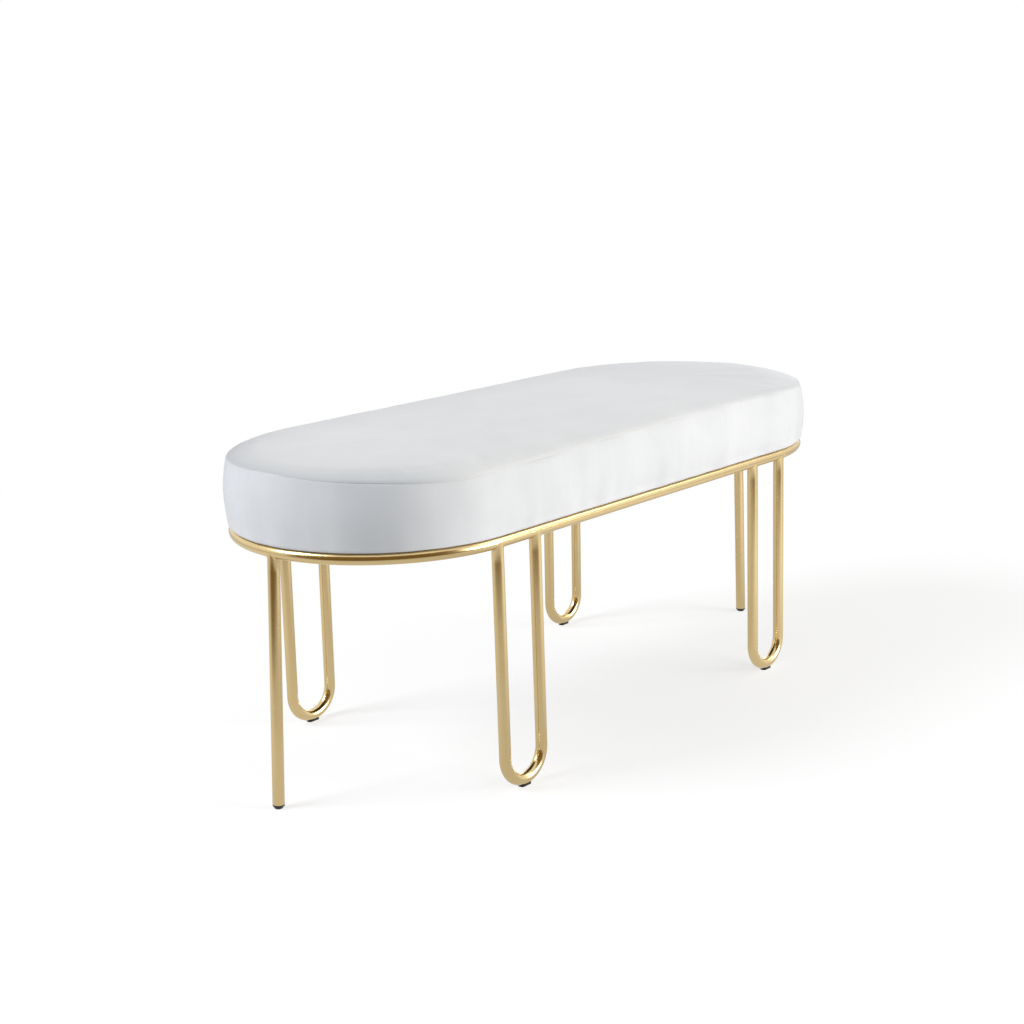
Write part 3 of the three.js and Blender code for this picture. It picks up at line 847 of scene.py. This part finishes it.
# The rings of points that end a leg under the rail: the leg's skin, a weld's hollow or swollen
# face, and the coped end. down is the leg's way, out and side_way span its cross-section.
def coped_end(top, down, out, side_way, rail_way, bore=0.0):
    turn = turns(TUBE_SIDES)
    ways = ways_round(turn, out, side_way)

    def on_rail(reach):
        spots = top + ways * (reach[:, None] if np.ndim(reach) else reach)
        for _ in range(12):
            drop = (spots[:, 2] - rail_underside(spots[:, 0], spots[:, 1])) / -down[2]
            spots = spots + drop[:, None] * down
        return spots

    lateral = np.sqrt(np.maximum(1 - (ways @ rail_way) ** 2, 1e-9))
    width = np.clip(TUBE * (0.985 / lateral - 1), 0.05 * MM, WELD)
    corner = on_rail(TUBE)
    low = corner + width[:, None] * down
    far = on_rail(TUBE + width)
    middle = corner * 0.62 + (low + far) / 2 * 0.38
    middle = middle + (corner - middle) * 0.22 * np.cos(turn * WELD_RIPPLES)[:, None]
    shares = np.arange(6) / 5
    face = [low * (1 - s) ** 2 + middle * 2 * s * (1 - s) + far * s**2 for s in shares]
    return face + [on_rail(bore + (TUBE - bore) * s) for s in (0.75, 0.5, 0.25, 0.0)]


# Tube bent to a U, coped and welded under the rail
def hairpin(end, front):
    length = math.hypot(RAIL_Z, HAIRPIN_SPLAY)
    top = vector(end * PRONG_X, front * RING, RAIL_Z)
    down = vector(0, front * HAIRPIN_SPLAY, -RAIL_Z) / length
    across = vector(0, -down[2], down[1])
    straight = length - BEND_LOW - TUBE - BEND
    turn = turns(TUBE_SIDES)

    def ring(spot, out):
        return spot + TUBE * ways_round(turn, out, across)

    reaches = (LEG_START, straight - 12 * MM)
    rings = coped_end(top - BEND * X, down, -X, across, X)[::-1]
    rings += [ring(top - BEND * X + reach * down, -X) for reach in reaches]
    for angle in np.pi * np.arange(BEND_STEPS + 1) / BEND_STEPS:
        way = -math.cos(angle) * X + math.sin(angle) * down
        rings.append(ring(top + straight * down + BEND * way, way))
    rings += [ring(top + BEND * X + reach * down, X) for reach in reaches[::-1]]
    return through_rings(rings + coped_end(top + BEND * X, down, X, across, X))


def post_axis(end):
    top = vector(end * (STRAIGHT + RING), 0, RAIL_Z)
    foot = top + vector(end * POST_LEANS[end], 0, -RAIL_Z)
    down = (foot - top) / np.linalg.norm(foot - top)
    return top, foot, down, vector(-down[2] * end, 0, abs(down[0]))


# Straight tube leg, open at its foot, where its cap is pressed in
def post(end):
    top, foot, down, out = post_axis(end)
    ways = ways_round(turns(TUBE_SIDES), out, Y)
    stop = foot - down * (CAP_FLANGE + GAP)
    rings = coped_end(top, down, out, Y, Y, POST_BORE)[::-1] + [top + LEG_START * down + TUBE * ways]
    for back, radius in (
        (BORE_DEPTH, TUBE), (0.5 * MM, TUBE), (0, TUBE - 0.4 * MM), (0, POST_BORE), (BORE_DEPTH, POST_BORE),
    ):
        rings.append(stop - back * down + radius * ways)
    return through_rings(rings, columns_ring=True, sharp=50)


# Plastic foot pressed into the post: a tapered flange, flat on the floor, on a ribbed stem
def foot_cap(end):
    foot, down, out = post_axis(end)[1:]
    ways = ways_round(turns(TUBE_SIDES), out, Y)
    rib = POST_BORE - GAP
    core = rib - 1 * MM
    flange = ((4.5, 0), (3.1, 0), (2.6, 0.35), (2.2, 0.9), (0.35, 3.5), (0.05, 4.1), (0, 4.6), (0.25, 5))
    profile = [(0, 0), *((TUBE - inset * MM, height) for inset, height in flange), (core, 5)]
    for rib_top in (11, 17):
        profile += [(core, rib_top - 2), (rib, rib_top - 1), (core, rib_top)]
    profile += [(core, 21), (core - 0.6 * MM, 22.2), (core - 2 * MM, 23), (0, 23)]
    rings = []
    for radius, height in profile:
        spots = foot - down * height * MM + radius * ways
        if height == 0:
            spots = spots + (spots[:, 2:] / -down[2]) * down
        rings.append(spots)
    return through_rings(rings, sharp=40)


# Soft pad that cradles the bend of a hairpin
def glide(end, front):
    half_x, half_y, corner = 10 * MM, 5 * MM, 4 * MM
    way = ways_round(turns(64))
    outline = np.sign(way) * (half_x - corner, half_y - corner) + corner * way
    middle = vector(end * PRONG_X, front * (RING + HAIRPIN_SPLAY))

    def cradle(flat):
        across = np.sqrt(np.maximum((TUBE + GAP / 2) ** 2 - flat[:, 1] ** 2, 0))
        under = np.sqrt(np.maximum((BEND + across) ** 2 - flat[:, 0] ** 2, 0))
        return np.minimum(GLIDE_TOP, BEND_LOW + TUBE + BEND - under)

    def lip(flat):
        return np.minimum(cradle(flat), GLIDE_TOP - 0.25 * MM)

    heights = [(0.5, 0, 0), (1.2, 0, 1), (0.3, 0.12 * MM, 1), (0, 0.4 * MM, 1)]
    heights += [(0, GLIDE_TOP - 0.6 * MM, 1), (0.12, lip, 1)]
    heights += [(inset, cradle, 1) for inset in (0.45, 0.9, 1.5, 2.4, 3.4)]
    heights += [(3.4, cradle, share) for share in (0.6, 0.35, 0.15, 0)]
    rings = []
    for inset, z, share in heights:
        flat = (outline - way * (inset * MM)) * share
        rings.append(raised(flat + middle, z(flat) if callable(z) else z))
    return through_rings(rings, sharp=60)


for end_name, end in ENDS.items():
    piece(f"tube_post_{end_name}", post(end), brass_finish, "brass_finish", f"end_post_{end_name}")
    cap_node = f"post_foot_cap_{end_name}"
    piece(f"foot_plug_{end_name}", foot_cap(end), black_plastic, "black_plastic", cap_node)
    for front_name, front in FRONTS.items():
        place = f"{front_name}_{end_name}"
        leg, pad = hairpin(end, front), glide(end, front)
        piece(f"hairpin_{place}", leg, brass_finish, "brass_finish", f"hairpin_leg_{place}")
        piece(f"glide_pad_{place}", pad, black_rubber, "black_rubber", f"hairpin_glide_{place}")

# Where the seat is screwed down: each screw's point, and the way out to the rail
tab_places = []
for end in ENDS.values():
    for front in FRONTS.values():
        for base, facing in (
            (end * TAB_FROM_MIDDLE, front * math.pi / 2),
            (end * STRAIGHT, front * TAB_END_ANGLE if end > 0 else math.pi - front * TAB_END_ANGLE),
        ):
            way = vector(math.cos(facing), math.sin(facing))
            tab_places.append((vector(base, 0) + SCREW_RADIUS * way, way))


# Flat steel tab with a round end, a hole and softened edges
def tab_plate(spot, way, across):
    corner = math.atan2(TAB_HALF, RING - SCREW_RADIUS - 5 * MM)
    turn = np.append(np.linspace(-corner, corner, 9), np.linspace(corner, 2 * np.pi - corner, 41)[1:-1])
    facing_rail = np.cos(turn) >= math.cos(corner) - 1e-9
    ways = ways_round(turn, way, across)

    def reach(z):
        sine = np.abs(np.sin(turn))
        side_reach = np.where(np.cos(turn) > 0, TAB_HALF / np.maximum(sine, 1e-9), TAB_HALF)
        rail_reach = RING - math.sqrt(max((TUBE - RAIL_BITE) ** 2 - (z - RAIL_Z) ** 2, 0))
        distance = np.full(len(turn), RING - SCREW_RADIUS)
        for _ in range(8):
            x, y = (spot + distance[:, None] * ways).T
            distance = distance + (rail_reach - from_middle(x, y)) / np.maximum(np.cos(turn), 0.3)
        return np.where(facing_rail, distance, side_reach)

    soft = 0.35 * MM
    levels = ((TAB_Z, soft), (TAB_Z + soft, 0), (TAB_TOP - soft, 0), (TAB_TOP, soft))
    rings = []
    for z, inset in levels:
        distance = reach(z) - np.where(facing_rail, 0, inset)
        rings.append(raised(spot + distance[:, None] * ways, z))
    rings += [raised(spot + (TAB_HOLE + inset) * ways, z) for z, inset in levels[::-1]]
    return through_rings(rings, columns_ring=True)


# The weld below a tab, rippled along its run
def tab_weld(spot, way, across):
    start = math.asin((TAB_Z - RAIL_Z) / TUBE)
    rho = RING - TUBE * math.cos(start)
    inside, high = rho + 0.8 * MM, TAB_Z + 0.4 * MM
    sections = []
    for share in np.linspace(-1, 1, 25):
        swell = (1 - abs(share) ** 6) * (1 + 0.14 * math.cos(share * 40))
        size = max(2.4 * MM * swell, 0.2 * MM)
        foot = start - size / TUBE
        low = RAIL_Z + TUBE * math.sin(foot)
        section = [(rho - size, TAB_Z), (rho - size * 0.42, TAB_Z - size * 0.42)]
        section += [(RING - TUBE * math.cos(foot), low), (inside, low), (inside, high), (rho - size, high)]
        spread = share * (TAB_HALF - 0.6 * MM) * across
        sections.append([(*(spot + (r - SCREW_RADIUS) * way + spread), z) for r, z in section])
    return grid(np.array(sections), rows_ring=False, columns_ring=True)


tab_meshes = []
for spot, way in tab_places:
    across = vector(-way[1], way[0])
    tab_meshes += [tab_plate(spot, way, across), tab_weld(spot, way, across)]


# The names of the solids that stand at the eight tabs
def at_tabs(name):
    return [f"{name}_{i + 1}" for i in range(len(tab_places))]


tabs_mesh = joined(tab_meshes, sharp=35)
piece("mounting_tabs", tabs_mesh, brass_finish, "brass_finish", *at_tabs("mounting_tab"))


# Pan-head wood screw with a cross recess and a thread, its head's underside at the origin
def screw():
    recessed, length, pitch = 3.4 * MM, 16, 1.8
    turn = turns(48)
    ways = ways_round(turn)
    rings = []
    for radius in np.linspace(0, recessed, 13):
        x, y = np.abs(radius * ways).T
        arms = [1 - np.maximum(a / (0.75 * MM), b / (2.5 * MM)) for a, b in ((x, y), (y, x))]
        depth = 1.5 * MM * np.clip(np.maximum(*arms) * 3, 0, 1)
        rings.append(raised(radius * ways, -3 * MM + 0.35 * MM * (radius / recessed) ** 2 + depth))
    head = ((3.9, -2.42), (4.3, -1.95), (4.5, -1.3), (4.5, -0.35), (4.3, 0), (2.3, 0), (1.9, 0.4))
    rings += [raised(radius * MM * ways, z * MM) for radius, z in head]
    for z in np.arange(0.8, length, 0.4):
        core = 1.55 * MM * min(1, (length + 0.2 - z) / 4)
        ridge = np.abs(np.mod(z / pitch - turn / (2 * np.pi), 1) - 0.5) * 2
        radius = core + 0.65 * MM * (1 - ridge) ** 1.5 * min(1, (length - z) / 3, z / 2)
        rings.append(raised(radius[:, None] * ways, z * MM))
    return through_rings([*rings, raised(0 * ways, length * MM)], sharp=45)


# Round-cornered wire staple, its back level with the origin and its legs going up
def staple():
    half, leg, bend, thick, wide = 5 * MM, 3 * MM, 0.5 * MM, 0.55 * MM, 0.95 * MM
    path = [(-half, leg), (-half, bend), (bend - half, 0), (half - bend, 0), (half, bend), (half, leg)]
    ways = [(1, 0), (1, 0.2), (0.3, 1), (-0.3, 1), (-1, 0.2), (-1, 0)]
    sections = []
    for (x, z), (a, b) in zip(path, ways):
        far_x, far_z = x + thick * a / math.hypot(a, b), z + thick * b / math.hypot(a, b)
        near = [(x, -wide / 2, z), (x, wide / 2, z)]
        sections.append(near + [(far_x, wide / 2, far_z), (far_x, -wide / 2, far_z)])
    return grid(np.array(sections), rows_ring=False, columns_ring=True, sharp=50)


# One stitch of the plain seam: a short thread across the dip between the two panels
def stitch():
    ways = ways_round(turns(6))
    rings = []
    for share, radius in ((-1, 0.0), (-0.9, 0.1), (-0.3, 0.17), (0.3, 0.17), (0.9, 0.1), (1, 0.0)):
        middle = vector(share * 0.3, -0.12 * (1 - share**2)) * MM
        rings.append(raised(middle + radius * MM * ways, share * 0.85 * MM))
    return through_rings(rings)


# Copies of a piece, evenly along the seat's outline, with gaps where the start mesh has points
def ring_of_pieces():
    g = Growth("pieces_along_outline", **OUTLINE, **COPIES, Count="Int", Clearance="Float", Turn="Float")
    spread = g.node("GeometryNodeCurveToPoints", mode="COUNT", Curve=g.outline(), Count=g.given["Count"])
    near = g.node("GeometryNodeProximity", {0: g.given["Geometry"]}, target_element="POINTS")
    cleared = g.maths("LESS_THAN", near["Distance"], g.given["Clearance"])
    kind = "GeometryNodeDeleteGeometry"
    kept = g.node(kind, domain="POINT", Geometry=spread["Points"], Selection=cleared)[0]
    tangent = g.axes(spread["Tangent"])
    wobble = g.chance(g.given["Turn"] * -1, g.given["Turn"])
    return g.end(g.copies(kept, g.maths("ARCTAN2", tangent["Y"], tangent["X"]) + wobble))


# Copies of a piece on the start mesh's points, each turned by chance
def pieces_on_points():
    g = Growth("pieces_on_points", **COPIES)
    return g.end(g.copies(g.given["Geometry"], g.chance(0.0, 2 * math.pi)))


def points_mesh(points):
    mesh = bpy.data.meshes.new("points")
    mesh.from_pydata(points, [], [])
    return mesh


samples = [placed("sample", mesh) for mesh in (screw(), staple(), stitch())]
screw_sample, staple_sample, stitch_sample = samples
screw_points = points_mesh([(*spot, TAB_Z - GAP) for spot, way in tab_places])
screws_mesh = pieces_on_points().grow(screw_points, sharp=45, Piece=screw_sample, Seed=3)
piece("seat_screws", screws_mesh, zinc, "zinc_steel", *at_tabs("seat_screw"))
along_outline = ring_of_pieces()
STAPLE_INSET = 16 * MM
staples_mesh = along_outline.grow(
    points_mesh([(*(spot + STAPLE_INSET * way), CLOTH_Z) for spot, way in tab_places]), sharp=50,
    Radius=RING - STAPLE_INSET, Straight=STRAIGHT, Height=CLOTH_Z - 0.5 * MM, Count=CLOTH_STAPLES,
    Clearance=19 * MM, Piece=staple_sample, Turn=0.12, Seed=5,
)
piece("cloth_staples", staples_mesh, staple_wire)
stitches_mesh = along_outline.grow(
    Radius=SEAM_RADIUS - SEAM_PINCH + 0.3 * MM, Straight=STRAIGHT, Height=SEAM_Z, Count=SEAM_STITCHES,
    Clearance=0.0, Piece=stitch_sample, Turn=0.2, Seed=6,
)
stitches_mesh.vertices.foreach_set("co", at_ease(spots_of(stitches_mesh)).ravel())
piece("seam_stitches", stitches_mesh, thread())
for item in samples:
    bpy.data.objects.remove(item)


# Thin cloth that closes the underside, sagging a little between its staples
def dust_sheet():
    walk = Walk(90, 100)
    shares = 1 - (1 - np.arange(41) / 40) ** 1.6
    points = walk.at([(CLOTH_RADIUS * share, CLOTH_Z + 0.1 * MM) for share in shares])
    x, y = points[:, :, 0], points[:, :, 1]
    near_edge = 17 * shares**6 * (1 - shares)
    sag = 0.35 * MM * walk.waves(31, 120 * MM, 40 * MM) * near_edge
    edge_hold = np.clip((1 - shares) / 0.25, 0, 1)
    belly = 2.2 * MM * np.sin(np.clip((1 - shares) / 0.6, 0, 1) * np.pi / 2) ** 2
    wrinkles = 0.4 * MM * np.sin(x * 38 + 3 * np.sin(y * 21)) * edge_hold
    down = np.maximum(belly + sag + (wrinkles + 0.4 * MM) * edge_hold, 0)
    near_tab = np.min([np.hypot(x - spot[0], y - spot[1]) for spot, way in tab_places], axis=0)
    down *= np.clip((near_tab - 16 * MM) / (30 * MM), 0, 1)
    lower = points - down[:, :, None] * (0, 0, 1)
    upper = lower + (0, 0, 0.5 * MM)
    return grid(np.concatenate([upper, lower[:, ::-1]], axis=1))


dust_sheet_piece = piece("dust_sheet", dust_sheet(), dust_cloth(), "dust_cloth", "dust_cover")


# Camera, floor and light
FLOOR_HALF = 30
WHITE_FROM = (1.1, 0.9)  # from the middle on, and over what width, the floor turns pure white
# Painted reflections in the floor, which only metal sees: pools of painted light, and a painted dark, warm
# colour in front of the left end
PAINTED_LIGHT_POOLS = ((0.6, -1.0, 0), (-0.8, 0.6, 0))
DARK_REFLECTION_COLOUR = (0.2, 0.13, 0.045, 1)
DARK_REFLECTION_WAY = (-0.755, -0.656, 0)
DARK_REFLECTION_BEARINGS = (-115, 5)
DARK_REFLECTION_FROM = (1.2, 0.4)
DARK_REFLECTION_SIDES = (0.35, 0.4)
WALL_RADIUS = 4.2
WALL_HEIGHTS = (0.01, 4.5)
WALL_STEPS = 16
SOFTBOX_SIZE = 2.6
SOFTBOX_DISTANCE = 6
SOFTBOX_AIM = (0, 0, 0.35)


# The way to a bearing, which is turned from the front to the right, and to a height, in degrees
def way_to(bearing, height):
    turn, tilt = math.radians(bearing), math.radians(height)
    return Vector((math.sin(turn) * math.cos(tilt), -math.cos(turn) * math.cos(tilt), math.sin(tilt)))


def looking_camera():
    back = way_to(CAMERA_AZIMUTH, CAMERA_ELEVATION)
    right = (-back).cross(Vector((0, 0, 1))).normalized()
    up = right.cross(-back)
    roll = math.radians(CAMERA_ROLL)
    turned_right = right * math.cos(roll) + up * math.sin(roll)
    turned_up = up * math.cos(roll) - right * math.sin(roll)
    camera = placed("camera", bpy.data.cameras.new("camera"))
    camera.data.lens = CAMERA_LENS
    camera.data.sensor_width = CAMERA_SENSOR
    camera.matrix_world = Matrix((turned_right, turned_up, back)).transposed().to_4x4()
    camera.matrix_world.translation = Vector(CAMERA_TARGET) + back * CAMERA_DISTANCE
    scene.camera = camera


# A softbox that looks at the seat's middle from a bearing and a height
def softbox(name, bearing, height, power, colour):
    way = way_to(bearing, height)
    lamp = bpy.data.lights.new(name, "AREA")
    lamp.size = SOFTBOX_SIZE
    lamp.energy = power
    lamp.color = colour
    item = placed(name, lamp)
    item.location = Vector(SOFTBOX_AIM) + SOFTBOX_DISTANCE * way
    item.rotation_euler = way.to_track_quat("Z", "Y").to_euler()


# The floor: pure white to the camera but for the shadow. Metal sees painted reflections in it: two
# pools of painted light, ending at a painted dark, warm reflection in front of the left end; other
# surfaces see a plain pale floor.
def floor_finish():
    f = Finish("studio_floor")
    flat = f.vector_maths("MULTIPLY", f.place, (1, 1, 0))[0]
    far = f.vector_maths("LENGTH", flat)["Value"]
    path = f.node("ShaderNodeLightPath")
    plain, matt = (f.node("ShaderNodeBsdfDiffuse", Color=grey(level))[0] for level in (0.8, 0.33))
    shown = f.node("ShaderNodeAddShader", {0: matt, 1: f.light(grey(1), 0.72)})[0]
    seen = f.blend(far.rising(*WHITE_FROM), shown, f.light(grey(1)))
    away = [f.vector_maths("DISTANCE", flat, spot)["Value"] for spot in PAINTED_LIGHT_POOLS]
    pools = (1 - away[0]).clamped() + (1 - away[1]).clamped() * 0.4
    painted_pool_light = f.mix(pools, grey(0.7), grey(1.25))
    toward = f.vector_maths("DOT_PRODUCT", flat, DARK_REFLECTION_WAY)["Value"] / far
    dark_reflection_share = far.rising(*DARK_REFLECTION_FROM) * toward.rising(*DARK_REFLECTION_SIDES)
    other = f.blend(path["Is Glossy Ray"], plain, f.light(f.mix(dark_reflection_share, painted_pool_light, DARK_REFLECTION_COLOUR)))
    return f.output(f.blend(path["Is Camera Ray"], other, seen))


# A dark, warm glow seen only in reflections: a painted dark reflection
def painted_reflection_finish():
    f = Finish("painted_dark_reflection")
    return f.output(f.light(DARK_REFLECTION_COLOUR))


def room_part(name, corners, faces, material):
    mesh = bpy.data.meshes.new(name)
    mesh.from_pydata(corners, [], faces)
    mesh.materials.append(material)
    return placed(name, mesh)


def studio():
    corners = FLOOR_HALF * np.array([(-1, -1, 0), (1, -1, 0), (1, 1, 0), (-1, 1, 0)])
    floor = room_part("floor", corners.tolist(), [(0, 1, 2, 3)], floor_finish())

    # A dark card round the camera's side that only glossy rays see: a painted dark reflection in the metal
    bearings = np.radians(np.linspace(*DARK_REFLECTION_BEARINGS, WALL_STEPS + 1))
    line = WALL_RADIUS * ways_round(bearings, (0, -1), (1, 0))
    corners = np.concatenate([raised(line, z) for z in WALL_HEIGHTS]).tolist()
    faces = [(i, i + 1, WALL_STEPS + 2 + i, WALL_STEPS + 1 + i) for i in range(WALL_STEPS)]
    wall = room_part("dark_room_wall", corners, faces, painted_reflection_finish())
    wall.visible_camera = False
    wall.visible_diffuse = False
    wall.visible_shadow = False

    world = bpy.data.worlds.new("studio")
    world.use_nodes = True
    scene.world = world
    board = Board(world.node_tree)
    path = board.node("ShaderNodeLightPath")
    shown = (path["Is Camera Ray"] + path["Is Glossy Ray"] + path["Is Transmission Ray"]).clamped()
    ambient = board.light((0.99, 0.995, 1.0, 1), 0.25, "ShaderNodeBackground")
    white = board.light(grey(1), 1.0, "ShaderNodeBackground")
    board.node("ShaderNodeOutputWorld", Surface=board.blend(shown, ambient, white))


looking_camera()
studio()
softbox("low_front", 25, 10, 300, (1.0, 0.985, 0.96))
softbox("key_right", 53, 38, 53, (1.0, 0.97, 0.9))
softbox("fill_left", -121, 38, 272, (0.936, 0.958, 1.0))
softbox("low_rear", 125, 1, 36, (1.0, 1.0, 1.0))
scene.view_settings.view_transform = "Standard"
